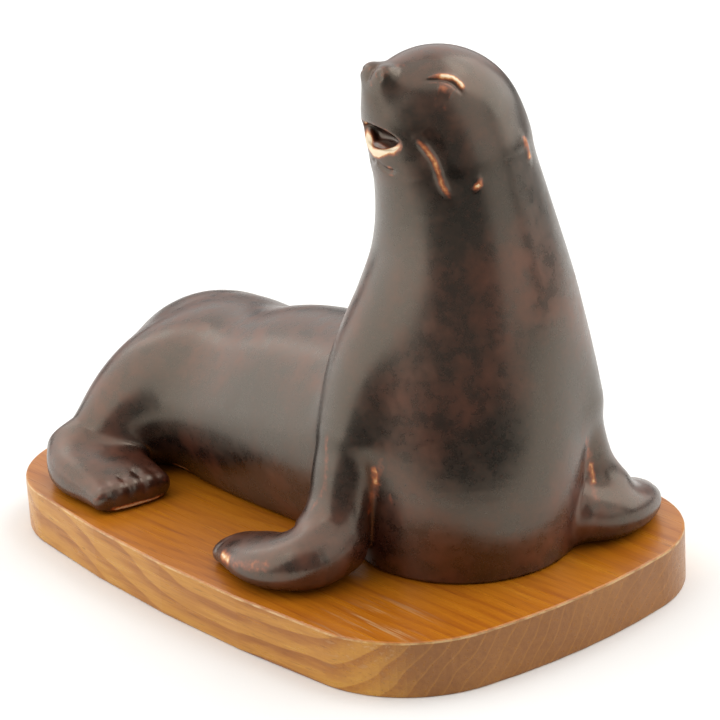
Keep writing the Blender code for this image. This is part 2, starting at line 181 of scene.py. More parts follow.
FAR_HIND_FLIPPER = (
    (-90, 50, 8.5, 14, 10.5),
    (-81, 54, 7.5, 15.5, 9.5),
    (-66, 55, 6, 16, 8),
    (-54, 56, 5, 15.5, 6),
)
NEAR_FORE_FLIPPER = (
    (54, -47, 13, 12, 12),
    (53, -58, 10, 14, 10.5),
    (43, -63, 7.5, 14.5, 8.5),
    (29, -62, 5.5, 13, 6.5),
    (20, -61, 4, 11, 5),
)
FAR_FORE_FLIPPER = (
    (94, 31, 11, 12, 11),
    (96, 39, 9, 13.5, 10),
    (94, 50, 7, 13.5, 8),
    (88, 59, 5.5, 12.5, 6.5),
    (83, 65, 4, 10, 5),
)

# Out from the chest's middle plane, forward and height, then half-width and half-depth
NEAR_SHOULDER = (
    (18.5, 3, 88, 12, 16),
    (32, 5, 66, 13.5, 17),
    (38, 8, 48, 13, 15),
)
FAR_SHOULDER = (
    (19.5, 3, 88, 12, 16),
    (31, 5, 66, 13.3, 17),
    (36, 8, 48, 12.8, 15),
)
NEAR_FOREARM = (
    (38, 8, 50, 11.5, 14),
    (43, 10, 36, 11.5, 13.5),
    (47, 12, 22, 11, 13),
    (50, 13, 14, 11, 13),
)
FAR_FOREARM = (
    (35, 8, 50, 11.5, 14),
    (38, 10, 36, 11.5, 13.5),
    (42, 12, 22, 11, 13),
    (47, 13, 14, 11, 13),
)

# Forward, left and up from the middle of the head, then the radii
SNOUT = ((13.6, 0, 0.9), (15.3, 14.5, 12.4))
MUZZLE_TIP = ((25.2, 0, 4.6), (6.6, 8.2, 7))
NEAR_NOSE_PAD = ((28.3, 3.9, 7.4), (3.3, 3.6, 3.4))
FAR_NOSE_PAD = ((29.4, -3.9, 6.8), (3.3, 3.6, 3.6))
JAW = ((7.2, 0, -17), (11, 11.5, 8))
MOUTH_OPENING = ((21.8, 0, -12), (6.8, 13, 4.1))
TONGUE = ((13.5, 0, -14.8), (6.5, 8, 2.4))
LOWER_LIP = (
    (18.6, 0, -16.8, 1.5, 1.5),
    (18.3, 5, -15.8, 1.5, 1.5),
    (18.1, 9, -13.6, 1.4, 1.4),
    (18.3, 11.6, -10.7, 1.2, 1.2),
)
print("ovals along the trunk:", len(TRUNK), "and along the neck:", len(CHEST_AND_NECK))

# %% Directions of the chest and the head
def unit(vector):
    vector = np.asarray(vector, dtype=float)
    return vector / np.linalg.norm(vector)


UP = np.array([0.0, 0.0, 1.0])
CHEST_FORWARD = np.array([math.cos(CHEST_HEADING), math.sin(CHEST_HEADING), 0.0])
CHEST_LEFT = np.cross(UP, CHEST_FORWARD)
HEAD_FORWARD = np.array([
    math.cos(HEAD_PITCH) * math.cos(HEAD_HEADING),
    math.cos(HEAD_PITCH) * math.sin(HEAD_HEADING),
    math.sin(HEAD_PITCH),
])
HEAD_LEFT = unit(np.cross(UP, HEAD_FORWARD))
HEAD_AXES = np.array([HEAD_FORWARD, HEAD_LEFT, np.cross(HEAD_FORWARD, HEAD_LEFT)])


def in_head(rows, side=1):
    """Rows given in the head's directions, as rows of the figure."""
    placed = np.array(rows, dtype=float) * MM
    placed[:, 1] *= side
    placed[:, :3] = CRANIUM_CENTRE + placed[:, :3] @ HEAD_AXES
    return placed


def on_arm(rows, side):
    """Rows given out from and forward of the chest's centre."""
    placed = np.array(rows, dtype=float) * MM
    out, forward, height = placed[:, :3].T
    placed[:, :3] = (
        CHEST_CENTRE
        + side * out[:, None] * CHEST_LEFT
        + forward[:, None] * CHEST_FORWARD
        + height[:, None] * UP
    )
    return placed


print("head looks", np.round(HEAD_FORWARD, 2))

# %% [markdown]
# A limb is a run: a smooth line of centres with an oval at each. The distance of a point is found
# in two steps, first its nearest place along the line, then how far it is outside the oval there.
# An egg is the same with a single centre.

# %% Runs and eggs
SAMPLES_ALONG_FORM = 40
SMALLEST_RATIO = 1e-4
SLIDES_ALONG_RUN = 3
SLIDE_SHARE = 0.8


def smooth_run(rows, count=SAMPLES_ALONG_FORM):
    """Rows read off a natural cubic spline through the given rows."""
    rows = np.asarray(rows, dtype=float)
    step = np.linalg.norm(np.diff(rows[:, :3], axis=0), axis=1)
    at = np.concatenate([[0.0], np.cumsum(step)])
    last = len(rows) - 1
    matrix = np.eye(len(rows))
    target = np.zeros_like(rows)
    for i in range(1, last):
        matrix[i, i - 1:i + 2] = step[i - 1], 2 * (step[i - 1] + step[i]), step[i]
        target[i] = 6 * ((rows[i + 1] - rows[i]) / step[i] - (rows[i] - rows[i - 1]) / step[i - 1])
    bend = np.linalg.solve(matrix, target)
    where = np.linspace(0.0, at[-1], count)
    k = np.clip(np.searchsorted(at, where, side="right") - 1, 0, last - 1)
    span = step[k][:, None]
    before = (at[k + 1] - where)[:, None]
    after = (where - at[k])[:, None]
    return (
        (bend[k] * before ** 3 + bend[k + 1] * after ** 3) / (6 * span)
        + (rows[k] / span - bend[k] * span / 6) * before
        + (rows[k + 1] / span - bend[k + 1] * span / 6) * after
    )


def nearest_on_run(points, centres):
    """Where along a line of centres each point lies, counted in centres."""
    best = np.full(len(points), np.inf)
    at = np.zeros(len(points))
    for i in range(len(centres) - 1):
        leg = centres[i + 1] - centres[i]
        t = np.clip((points - centres[i]) @ leg / (leg @ leg), 0.0, 1.0)
        offset = points - centres[i] - t[:, None] * leg
        distance = np.einsum("ij,ij->i", offset, offset)
        closer = distance < best
        best[closer] = distance[closer]
        at[closer] = i + t[closer]
    return at


def oval_distance(offsets, radii, power=2.0):
    """Distance from an oval skin, negative inside, along rays from its centre."""
    reach = np.linalg.norm(offsets, axis=1)
    ratio = (np.abs(offsets / radii) ** power).sum(axis=1) ** (1 / power)
    return reach * (1 - 1 / np.maximum(ratio, SMALLEST_RATIO))


class Run:
    """A form swept through oval sections, whose heights point along up."""

    def __init__(self, rows, up=UP, power=2.0, cap=None):
        self.run = smooth_run(rows)
        ahead = np.gradient(self.run[:, :3], axis=0)
        ahead /= np.linalg.norm(ahead, axis=1)[:, None]
        self.table = np.concatenate([self.run, ahead], axis=1)
        self.up = up
        self.power = power
        self.cap = cap
        reach = self.run[:, 3:].max()
        self.low = self.run[:, :3].min(axis=0) - reach
        self.high = self.run[:, :3].max(axis=0) + reach

    def read(self, at):
        """The rows at places along the run, which may lie between two centres."""
        k = np.minimum(at.astype(int), len(self.table) - 2)
        part = (at - k)[:, None]
        return self.table[k] * (1 - part) + self.table[k + 1] * part

    def distance(self, points):
        """How far points lie outside the run, each measured in its own oval."""
        centres = self.run[:, :3]
        pitch = np.linalg.norm(np.diff(centres, axis=0), axis=1).mean()
        last = len(centres) - 1
        at = nearest_on_run(points, centres)
        for _ in range(SLIDES_ALONG_RUN):
            row = self.read(at)
            slip = ((points - row[:, :3]) * row[:, 5:]).sum(axis=1)
            at = np.clip(at + SLIDE_SHARE * slip / pitch, 0, last)
        row = self.read(at)
        forward = row[:, 5:] / np.linalg.norm(row[:, 5:], axis=1)[:, None]
        high = self.up - forward * (forward @ self.up)[:, None]
        high /= np.linalg.norm(high, axis=1)[:, None]
        wide = np.cross(forward, high)
        offset = points - row[:, :3]
        past_end = (at <= 0) | (at >= last)
        local = np.stack([
            (offset * wide).sum(axis=1),
            (offset * high).sum(axis=1),
            np.where(past_end, (offset * forward).sum(axis=1), 0.0),
        ], axis=1)
        cap = row[:, 3:5].min(axis=1) if self.cap is None else np.full(len(row), self.cap)
        radii = np.concatenate([row[:, 3:5], cap[:, None]], axis=1)
        return oval_distance(local, radii, self.power)


class Egg:
    """An egg of the head, with its radii along the head's directions."""

    def __init__(self, centre, radii):
        self.centre = CRANIUM_CENTRE + np.array(centre, dtype=float) * MM @ HEAD_AXES
        self.radii = np.array(radii, dtype=float) * MM
        self.low = self.centre - self.radii.max()
        self.high = self.centre + self.radii.max()

    def distance(self, points):
        """How far points lie outside the egg."""
        return oval_distance((points - self.centre) @ HEAD_AXES.T, self.radii)


print("forms: run and egg")

# %% [markdown]
# Joints are smoothed over a few millimetres where a tool has drawn the clay together tightly, as
# between a forearm and the chest, and over more where two masses flow into each other.

# %% Pressing the forms together
OUT_OF_REACH = 60.0 * MM
BODY_MARGIN = 8.0 * MM
MOUTH_MARGIN = 4.0 * MM


def smooth_union(a, b, radius):
    """The nearer of two distances, with the joint filled in over radius."""
    share = np.maximum(radius - np.abs(a - b), 0.0) / radius
    return np.minimum(a, b) - share ** 3 * radius / 6


def smooth_cut(a, b, radius):
    """What is left of a when b is taken away, with its edges eased."""
    return -smooth_union(-a, b, radius)


def near(points, form, margin):
    """Which points lie in a form's box, widened by a margin."""
    low = form.low - margin
    high = form.high + margin
    return np.flatnonzero(((points > low) & (points < high)).all(axis=1))


def body_forms():
    """Each form of the body with the radius its joint is smoothed over."""
    forms = [
        (Run(np.array(TRUNK) * MM, cap=RUMP_DEPTH), TRUNK_JOINT),
        (Run(np.array(CHEST_AND_NECK) * MM, up=CHEST_FORWARD, cap=NECK_CAP), NECK_JOINT),
        (Egg((0, 0, 0), CRANIUM_RADII), CRANIUM_JOINT),
        (Egg(*SNOUT), SNOUT_JOINT),
        (Egg(*MUZZLE_TIP), MUZZLE_JOINT),
        (Egg(*JAW), JAW_JOINT),
        (Egg(*NEAR_NOSE_PAD), NOSE_PAD_JOINT),
        (Egg(*FAR_NOSE_PAD), NOSE_PAD_JOINT),
    ]
    for thigh, flipper in ((NEAR_THIGH, NEAR_HIND_FLIPPER), (FAR_THIGH, FAR_HIND_FLIPPER)):
        hind_foot = Run(np.array(flipper) * MM, power=HIND_FLIPPER_POWER, cap=HIND_FLIPPER_CAP)
        forms.append((Run(np.array(thigh) * MM), THIGH_JOINT))
        forms.append((hind_foot, HIND_FLIPPER_JOINT))
    arms = (
        (-1, NEAR_SHOULDER, NEAR_FOREARM, NEAR_FORE_FLIPPER),
        (1, FAR_SHOULDER, FAR_FOREARM, FAR_FORE_FLIPPER),
    )
    for side, shoulder, forearm, flipper in arms:
        fore_foot = Run(np.array(flipper) * MM, power=FORE_FLIPPER_POWER, cap=FORE_FLIPPER_CAP)
        forms.append((Run(on_arm(shoulder, side), up=CHEST_FORWARD), SHOULDER_JOINT))
        forms.append((Run(on_arm(forearm, side), up=CHEST_FORWARD), FOREARM_JOINT))
        forms.append((fore_foot, FORE_FLIPPER_JOINT))
    return forms


print("forms of the body:", len(body_forms()))

# %% [markdown]
# ## Tooling the skin
# The eyelids, ears, cheek folds and toes are lines pressed or drawn on the finished body. Each is
# a short curve that is first laid onto the skin. It then raises or lowers the distance by a bump
# of its own width, which needs no extra geometry and never leaves a seam.

# %% Lines that are tooled into the skin
JOWL_FOLD = (
    (18.1, 17.9, -8.3), (15.7, 20.2, -10.2), (11.5, 22.6, -13.9), (7.1, 24.2, -19.7),
    (2.8, 25.5, -23.3),
)
JOWL_HOLLOW = (
    (17.4, 19.1, -5.3), (14.4, 20.8, -7.5), (10.9, 22.6, -10.7), (7.7, 24.3, -14.2),
    (4.5, 25.4, -17.9), (2.1, 26.2, -20.9),
)
LID_RIDGE = (
    (19.2, 14.4, 11.2), (17.1, 15.1, 12.8), (14.7, 16.1, 13.8), (12.2, 17.5, 14.1),
    (10.3, 19.0, 13.3), (8.7, 20.8, 11.6),
)
LID_GROOVE = (
    (20.2, 14.0, 10.3), (17.6, 15.5, 11.7), (15.2, 16.8, 12.5), (12.6, 18.5, 12.5),
    (10.9, 19.9, 11.6), (9.6, 21.1, 10.5),
)
EYE_BULGE = ((17.0, 17.4, 9.9), (14.6, 19.0, 10.2), (11.8, 20.6, 10.0))
EAR = ((-16.9, 23.0, 3.4), (-20.7, 23.0, -0.4), (-22.8, 23.6, -3.8))
CHEEK_TICK = (
    (-2.0, 28.4, -14.2), (-3.1, 28.7, -14.8), (-3.3, 28.8, -16.0), (-2.2, 28.4, -17.2),
)
NOSTRIL = ((31.9, 4.2, 8.1), (31.5, 5.2, 6.9), (31.0, 6.6, 6.1))
NOSE_CLEFT = ((30.6, 0.2, 10.5), (31.9, 0.2, 8.0), (32.3, 0.2, 4.0))
UPPER_LIP = ((25.0, 0, -8.2), (24.3, 5, -8.3), (22.5, 9, -8.9), (20.6, 11.6, -10.2))
CHIN_CREASE = ((19.4, 0.1, -19.7), (18.5, 2.9, -21.0), (17.4, 6.2, -21.6), (16.5, 9.8, -20.9))

# The lines of each side of the head, with their width and height in millimetres
TOOLED_ON_BOTH_SIDES = (
    (JOWL_FOLD, 1.5, 1.0),
    (JOWL_HOLLOW, 2.6, -0.6),
    (LID_RIDGE, 1.1, 0.5),
    (LID_GROOVE, 0.7, -0.6),
    (EYE_BULGE, 2.4, 0.4),
    (EAR, 1.6, 0.6),
    (CHEEK_TICK, 1.1, 0.6),
    (NOSTRIL, 0.7, -0.5),
    (UPPER_LIP, 0.8, 0.35),
    (CHIN_CREASE, 0.9, -0.6),
)
NOSE_CLEFT_WIDTH = 0.9
NOSE_CLEFT_HEIGHT = -0.5

TOE_GROOVES = 4
TOE_GROOVE_WIDTH = 1.4
TOE_GROOVE_HEIGHT = -0.8
TOE_GROOVE_LENGTH = 9.0 * MM
TOE_GROOVE_OVERHANG = 6.0 * MM
TOE_GROOVE_ARCH = 0.35

# How far a line reaches in its own widths, and how it eases out at its two ends
LINE_REACH = 3
END_EASE = 5
END_SHARE = 0.2

LAYING_PROBE = 0.2 * MM
LAYING_STEPS = 4


def toe_lines(flipper):
    """Lines between the toes, running back from the end of a hind flipper."""
    run = smooth_run(np.array(flipper) * MM)
    tip = run[-1]
    ahead = unit(run[-1, :3] - run[-4, :3])
    across = np.cross(ahead, UP)
    lines = []
    for i in range(TOE_GROOVES):
        share = 2 * (i + 1) / (TOE_GROOVES + 1) - 1
        start = tip[:3] + share * tip[3] * across + ahead * TOE_GROOVE_OVERHANG
        end = start - ahead * TOE_GROOVE_LENGTH + UP * tip[4]
        middle = (start + end) / 2 + UP * tip[4] * TOE_GROOVE_ARCH
        lines.append(np.array([start, middle, end]))
    return lines


def along_line(points, line, reach):
    """How far points within reach lie from a line, and where along it from 0 to 1."""
    low = line.min(axis=0) - reach
    high = line.max(axis=0) + reach
    k = np.flatnonzero(((points > low) & (points < high)).all(axis=1))
    at = nearest_on_run(points[k], line)
    i = np.minimum(at.astype(int), len(line) - 2)
    part = (at - i)[:, None]
    foot = line[i] * (1 - part) + line[i + 1] * part
    return k, np.linalg.norm(points[k] - foot, axis=1), at / (len(line) - 1)


def line_relief(points, line, width):
    """1 on a line drawn over the skin, easing to 0 over its width and at its ends."""
    relief = np.zeros(len(points))
    k, away, share = along_line(points, line, LINE_REACH * width)
    fade = np.minimum(1, END_EASE * np.minimum(share, 1 - share) + END_SHARE)
    relief[k] = np.exp(-(away / width) ** 2) * fade
    return relief


def laid_on(distance, line):
    """A line of points, each moved to where the distance is nothing."""
    line = np.array(line)
    for _ in range(LAYING_STEPS):
        slope = np.stack([
            (distance(line + LAYING_PROBE * axis) - distance(line - LAYING_PROBE * axis))
            / (2 * LAYING_PROBE)
            for axis in np.eye(3)
        ], axis=1)
        line -= (distance(line) / (slope * slope).sum(axis=1))[:, None] * slope
    return line


# %% The whole figure as one distance
class Figure:
    """The casting: its forms, and the lines tooled into its skin."""

    def __init__(self):
        self.forms = body_forms()
        self.mouth = Egg(*MOUTH_OPENING)
        self.tongue = Egg(*TONGUE)
        self.lips = [Run(in_head(LOWER_LIP, side)) for side in (1, -1)]
        self.tooled = []
        for side in (1, -1):
            for rows, width, height in TOOLED_ON_BOTH_SIDES:
                self.tool(in_head(rows, side), width, height)
        self.tool(in_head(NOSE_CLEFT), NOSE_CLEFT_WIDTH, NOSE_CLEFT_HEIGHT)
        for flipper in (NEAR_HIND_FLIPPER, FAR_HIND_FLIPPER):
            for line in toe_lines(flipper):
                self.tool(line, TOE_GROOVE_WIDTH, TOE_GROOVE_HEIGHT)

    def tool(self, rows, width, height):
        """Draw a line over the body: its width and its height in millimetres."""
        self.tooled.append((laid_on(self.body, smooth_run(rows)), width * MM, height * MM))

    def body(self, points):
        """How far points lie outside the skin before it is tooled."""
        skin = np.full(len(points), OUT_OF_REACH)
        for form, radius in self.forms:
            k = near(points, form, radius + BODY_MARGIN)
            skin[k] = smooth_union(skin[k], form.distance(points[k]), radius)
        k = near(points, self.mouth, MOUTH_MARGIN)
        skin[k] = smooth_cut(skin[k], self.mouth.distance(points[k]), MOUTH_JOINT)
        k = near(points, self.tongue, MOUTH_MARGIN)
        skin[k] = smooth_union(skin[k], self.tongue.distance(points[k]), TONGUE_JOINT)
        for lip in self.lips:
            k = near(points, lip, MOUTH_MARGIN)
            skin[k] = smooth_union(skin[k], lip.distance(points[k]), LIP_JOINT)
        return skin

    def skin(self, points):
        """How far points lie outside the finished skin."""
        skin = self.body(points)
        for line, width, height in self.tooled:
            skin -= height * line_relief(points, line, width)
        return smooth_cut(skin, points[:, 2], FOOT_JOINT)


figure = Figure()
print("tooled lines:", len(figure.tooled))

# %% [markdown]
# ## From distance to mesh
# The distance is sampled on a grid, and the surface is read off it as even quads. Only samples
# near the skin are worked out exactly. The face is then divided twice more, and each corner is
# moved along the slope of the distance until it lies exactly on the skin.

# %% Sample the clay
CLAY_STEP = 1.5 * MM
SPARSE_STRIDE = 4
SKIN_BAND = 7.0 * MM
CLIPPED_BEYOND = 1.3 * SKIN_BAND
STEPS_AROUND = 2
STEPS_ABOVE = 3
STEPS_BELOW_FOOT = 2.5


def filled_in(field, stride):
    """A sparse grid with stride samples for each one it had, read off straight."""
    for axis in range(3):
        count = field.shape[axis]
        at = np.arange((count - 1) * stride + 1) / stride
        k = np.minimum(at.astype(int), count - 2)
        part = (at - k).reshape([-1 if i == axis else 1 for i in range(3)])
        field = np.take(field, k, axis) * (1 - part) + np.take(field, k + 1, axis) * part
    return field


def grid_points(low, counts, step):
    """Every point of a grid, in the order of its samples."""
    axes = [low[i] + step * np.arange(counts[i]) for i in range(3)]
    return np.stack(np.meshgrid(*axes, indexing="ij"), axis=-1).reshape(-1, 3)


def sampled(step):
    """The distance to the skin on a grid that holds the whole figure."""
    low = np.min([form.low for form, radius in figure.forms], axis=0)
    high = np.max([form.high for form, radius in figure.forms], axis=0)
    low[2] = -STEPS_BELOW_FOOT * step
    low -= (STEPS_AROUND * step, STEPS_AROUND * step, 0)
    wide = SPARSE_STRIDE * step
    counts = np.ceil((high + STEPS_ABOVE * step - low) / wide).astype(int) + 1
    sparse = figure.skin(grid_points(low, counts, wide)).reshape(counts)
    field = filled_in(np.clip(sparse, -CLIPPED_BEYOND, CLIPPED_BEYOND), SPARSE_STRIDE)
    close = np.flatnonzero(np.abs(field.ravel()) < SKIN_BAND)
    index = np.stack(np.unravel_index(close, field.shape), axis=1)
    field.ravel()[close] = figure.skin(low + index * step)
    return low, field


low, field = sampled(CLAY_STEP)
grid = openvdb.FloatGrid()
grid.copyFromArray(field)
corners, quads = grid.convertToQuads(isovalue=0.0)
corners = corners * CLAY_STEP + low
print("sampled", field.shape, "->", len(quads), "quads")

# %% Divide the face finely
FACE_BOX = np.array([[-2.0, -25.0, -25.0], [40.0, 25.0, 20.0]]) * MM
FEATURE_BOX = np.array([[5.0, -22.5, -23.0], [40.0, 22.5, 17.0]]) * MM


def in_box(points, box):
    """Which points lie in a box given in the head's directions."""
    local = (points - CRANIUM_CENTRE) @ HEAD_AXES.T
    return ((local > box[0]) & (local < box[1])).all(axis=1)


mesh = bpy.data.meshes.new("seal_glazed")
mesh.from_pydata(corners.tolist(), [], quads.tolist())
shell = bmesh.new()
shell.from_mesh(mesh)
bmesh.ops.recalc_face_normals(shell, faces=shell.faces)
for box in (FACE_BOX, FEATURE_BOX):
    shell.faces.ensure_lookup_table()
    middles = np.array([face.calc_center_median() for face in shell.faces])
    chosen = [shell.faces[i] for i in np.flatnonzero(in_box(middles, box))]
    edges = list({edge for face in chosen for edge in face.edges})
    bmesh.ops.subdivide_edges(shell, edges=edges, cuts=1, use_grid_fill=True)
shell.to_mesh(mesh)
shell.free()
print("faces after dividing:", len(mesh.polygons))

# %% Lay every corner exactly on the skin
PROBE = 0.5 * MM
LEAST_SLOPE_SQUARED = 0.2
LEAST_SLOPE = 0.3
MOST_BEND = 1.5


def slope_and_bend(points):
    """The distance, its slope, and how sharply the skin bends outward, per metre."""
    here = figure.skin(points)
    slope = np.zeros((len(points), 3))
    bend = -6 * here
    for i, axis in enumerate(np.eye(3)):
        ahead = figure.skin(points + PROBE * axis)
        behind = figure.skin(points - PROBE * axis)
        slope[:, i] = (ahead - behind) / (2 * PROBE)
        bend += ahead + behind
    return here, slope, bend / PROBE ** 2


points = np.empty(len(mesh.vertices) * 3)
mesh.vertices.foreach_get("co", points)
points = points.reshape(-1, 3)
here, slope, bend = slope_and_bend(points)
points -= (here / np.maximum((slope * slope).sum(axis=1), LEAST_SLOPE_SQUARED))[:, None] * slope
points[:, 2] = np.maximum(points[:, 2], 0.0)
size = np.linalg.norm(slope, axis=1)
normals = slope / np.maximum(size, 1e-6)[:, None]
convexity = np.clip(bend / np.maximum(size, LEAST_SLOPE) * MM, -MOST_BEND, MOST_BEND)
print("moved by at most", round(float(np.abs(here).max() * 1000), 2), "mm")

# %% [markdown]
# ## Where the glaze breaks
# A dark iron glaze runs off sharp edges while it melts. Where it is thin it turns rust, then
# orange, and on the sharpest ridges the pale clay shows. The skin's outward bend says where that
# happens, and a few lines add the places where the glazer wiped it, as on the lips and eyelids.
# These shares are kept on the mesh, so that the material only has to mix colours by them.

# %% Wiped and rusty lines
def on_both_sides(rows, width, strength):
    """A painted line of each side of the head."""
    return [(in_head(rows, side), width, strength) for side in (1, -1)]


def on_figure(rows, width, strength):
    """A painted line given in the figure's own millimetres."""
    return [(np.array(rows) * MM, width, strength)]


# Each line has a width in millimetres and the share of its middle that is worn
LIP_ROLL = np.array(LOWER_LIP)[:, :3] * (1.05, 1.07, 1.03)
LIP_EDGE = np.vstack([LIP_ROLL[:0:-1] * (1, -1, 1), LIP_ROLL])
UNDER_LIP = in_head(LOWER_LIP)[:, :3] + (0, 0, -1.2 * MM)
WIPED = [
    (in_head(LIP_EDGE), 1.75, 1.0),
    *on_both_sides(UPPER_LIP, 0.6, 0.9),
    *on_both_sides(LID_RIDGE[1:], 1.1, 0.85),
    *on_both_sides(JOWL_FOLD, 0.95, 0.85),
    *on_both_sides(CHEEK_TICK[1:], 1.1, 0.8),
    (in_head(((-20.9, 23.2, -1.1), (-21.7, 23.5, -2.6))), 0.6, 0.6),
    *on_figure(((22.7, -74.6, 7.7), (28.0, -74.0, 7.5), (35.0, -73.0, 7.0)), 2.2, 0.7),
    *on_figure(((67.5, -38.3, 41.2), (67.0, -37.7, 37.2), (66.6, -37.2, 33.3)), 1.3, 0.7),
    *on_figure(((98.5, 31.5, 30.7), (99.1, 32.2, 25.5), (101.2, 31.4, 21.1)), 1.2, 0.6),
    *on_figure(((-46.0, -72.5, 0.6), (-43.4, -60.0, 0.6), (-45.0, -47.0, 0.6)), 1.0, 0.9),
    *on_figure(((-63.6, -32.5, 0.6), (-53.6, -30.9, 0.6)), 0.9, 0.8),
]
RUSTY = [
    *on_both_sides(EAR, 2.2, 0.8),
    (in_head(((17.6, 5.8, -21.4), (17.0, 8.6, -21.0))), 2.0, 0.7),
    (in_head(((32.3, 1.7, 4.8), (31.9, 3.1, 2.8))), 1.0, 0.7),
    *on_both_sides(((16.1, 17.8, 10.1), (12.6, 20.0, 10.2)), 2.2, 0.6),
    (in_head(((27.3, 3.7, 12.1), (23.5, 4.3, 13.9))), 3.0, 0.55),
    (in_head(((19.1, 0.9, 17.9), (14.5, 2.8, 20.8), (8.0, 6.0, 22.8))), 4.5, 0.4),
    (in_head(((18.2, 18.7, 4.3), (15.4, 20.5, 4.4), (12.2, 22.4, 3.6))), 3.5, 0.4),
    (UNDER_LIP, 2.4, 0.6),
    (in_head(LID_RIDGE), 2.4, 0.5),
    (in_head(CHEEK_TICK), 2.6, 0.55),
    *on_figure(((71.6, -36.5, 47.2), (68.2, -37.4, 37.8), (64.5, -37.7, 27.7), (63.7, -39.4, 18.4)),
               2.2, 0.75),
    *on_figure(((71.5, -36.1, 33.6), (72.4, -35.8, 29.4), (71.6, -35.8, 24.8)), 1.2, 0.6),
    *on_figure(((101.0, 27.7, 43.6), (98.6, 31.1, 34.6), (98.6, 31.7, 27.7), (105.5, 29.4, 15.1)),
               2.0, 0.8),
    *on_figure(((32.4, -76.4, 7.2), (43.0, -76.9, 10.0), (50.4, -75.2, 11.7), (54.9, -72.6, 13.7)),
               3.4, 0.7),
    *on_figure(((52.0, -44.6, 53.7), (52.8, -46.8, 45.5), (54.8, -50.2, 33.2), (47.8, -54.6, 22.7)),
               1.4, 0.7),
]
NO_EDGE_BELOW = 1.5 * MM
FULL_EDGE_ABOVE = 5 * MM
SOFT_BEND = 0.1
SHARP_BEND = 0.55


def painted(lines):
    """The share of each corner that the given lines cover."""
    share = np.zeros(len(points))
    for rows, width, strength in lines:
        line = laid_on(figure.body, smooth_run(rows))
        share = np.maximum(share, strength * line_relief(points, line, width * MM))
    return share


def eased(value, start, stop):
    """0 up to start and 1 from stop on, with a smooth step between them."""
    share = np.clip((value - start) / (stop - start), 0, 1)
    return share * share * (3 - 2 * share)


off_foot = eased(points[:, 2], NO_EDGE_BELOW, FULL_EDGE_ABOVE)
edge = eased(convexity, SOFT_BEND, SHARP_BEND) * off_foot
wiped = painted(WIPED)
rusty = painted(RUSTY)
print("wiped", round(float(wiped.mean()), 4), "rusty", round(float(rusty.mean()), 4))

# %% Put the figure together
figure_points = points + (0, 0, foot_height)
mesh.vertices.foreach_set("co", figure_points.astype(np.float32).ravel())
mesh.update()
mesh.shade_smooth()
mesh.normals_split_custom_set_from_vertices(normals.tolist())
for name, values in (("edge", edge), ("wiped", wiped), ("rusty", rusty)):
    attribute = mesh.attributes.new(name, "FLOAT", "POINT")
    attribute.data.foreach_set("value", values.astype(np.float32))
seal = bpy.data.objects.new("seal_glazed", mesh)
bpy.context.scene.collection.objects.link(seal)
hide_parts("seal_figure")
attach(seal, "root")
print("figure", [round(v * 1000, 1) for v in seal.dimensions], "mm")

# %% [markdown]
# ## Materials
# Colours are written as sRGB hex, as a paint program shows them, and turned to linear light once.
# One helper adds a node, sets its values and joins its inputs. Arithmetic between sockets is one
# node for each step, so it has four short names of its own.

# %% Colour and node helpers
MM_IN_A_METRE = 1000.0


def linear(code):
    """An sRGB hex colour as linear red, green, blue and full alpha."""
    parts = [int(code[i:i + 2], 16) / 255 for i in (1, 3, 5)]
    return (*[p / 12.92 if p <= 0.04045 else ((p + 0.055) / 1.055) ** 2.4 for p in parts], 1.0)


def node(tree, kind, inputs=None, **settings):
    """Add a node: settings are its properties, inputs are values or sockets to join."""
    made = tree.nodes.new(kind)
    for name, value in settings.items():
        setattr(made, name, value)
    for key, value in (inputs or {}).items():
        if isinstance(value, bpy.types.NodeSocket):
            tree.links.new(value, made.inputs[key])
        else:
            made.inputs[key].default_value = value
    return made


def new_material(name):
    """A material with only a shader in it, and its tree and shader."""
    material = bpy.data.materials.new(name)
    material.use_nodes = True
    return material, material.node_tree, material.node_tree.nodes["Principled BSDF"]


def ramp(tree, factor, stops):
    """A colour ramp over the factor: pairs of a place and a hex colour."""
    made = node(tree, "ShaderNodeValToRGB", {"Fac": factor})
    for place, code in stops[2:]:
        made.color_ramp.elements.new(place)
    for element, (place, code) in zip(made.color_ramp.elements, stops):
        element.position = place
        element.color = linear(code)
    return made.outputs["Color"]


def eased_range(tree, value, start, stop, low=0.0, high=1.0):
    """A smooth step from low at start to high at stop."""
    made = node(tree, "ShaderNodeMapRange", {
        "Value": value, "From Min": start, "From Max": stop, "To Min": low, "To Max": high,
    }, interpolation_type="SMOOTHSTEP")
    return made.outputs["Result"]


def noise(tree, place, size_mm, detail, roughness, stretch=None):
    """Noise whose blots are about size_mm across, or longer where stretch is below 1."""
    if stretch:
        place = node(tree, "ShaderNodeMapping", {"Vector": place, "Scale": stretch}).outputs["Vector"]
    made = node(tree, "ShaderNodeTexNoise", {
        "Vector": place, "Scale": MM_IN_A_METRE / size_mm, "Detail": detail, "Roughness": roughness,
    })
    return made.outputs["Fac"]


def blend(tree, share, below, above):
    """A colour that is below at a share of 0 and above at a share of 1."""
    made = node(tree, "ShaderNodeMix", data_type="RGBA")
    for key, value in ((0, share), (6, below), (7, above)):
        if isinstance(value, bpy.types.NodeSocket):
            tree.links.new(value, made.inputs[key])
        else:
            made.inputs[key].default_value = value
    return made.outputs[2]


def plus(tree, a, b):
    return node(tree, "ShaderNodeMath", {0: a, 1: b}, operation="ADD").outputs[0]


def minus(tree, a, b):
    return node(tree, "ShaderNodeMath", {0: a, 1: b}, operation="SUBTRACT").outputs[0]


def times(tree, a, b):
    return node(tree, "ShaderNodeMath", {0: a, 1: b}, operation="MULTIPLY").outputs[0]


def greater(tree, a, b):
    return node(tree, "ShaderNodeMath", {0: a, 1: b}, operation="MAXIMUM").outputs[0]


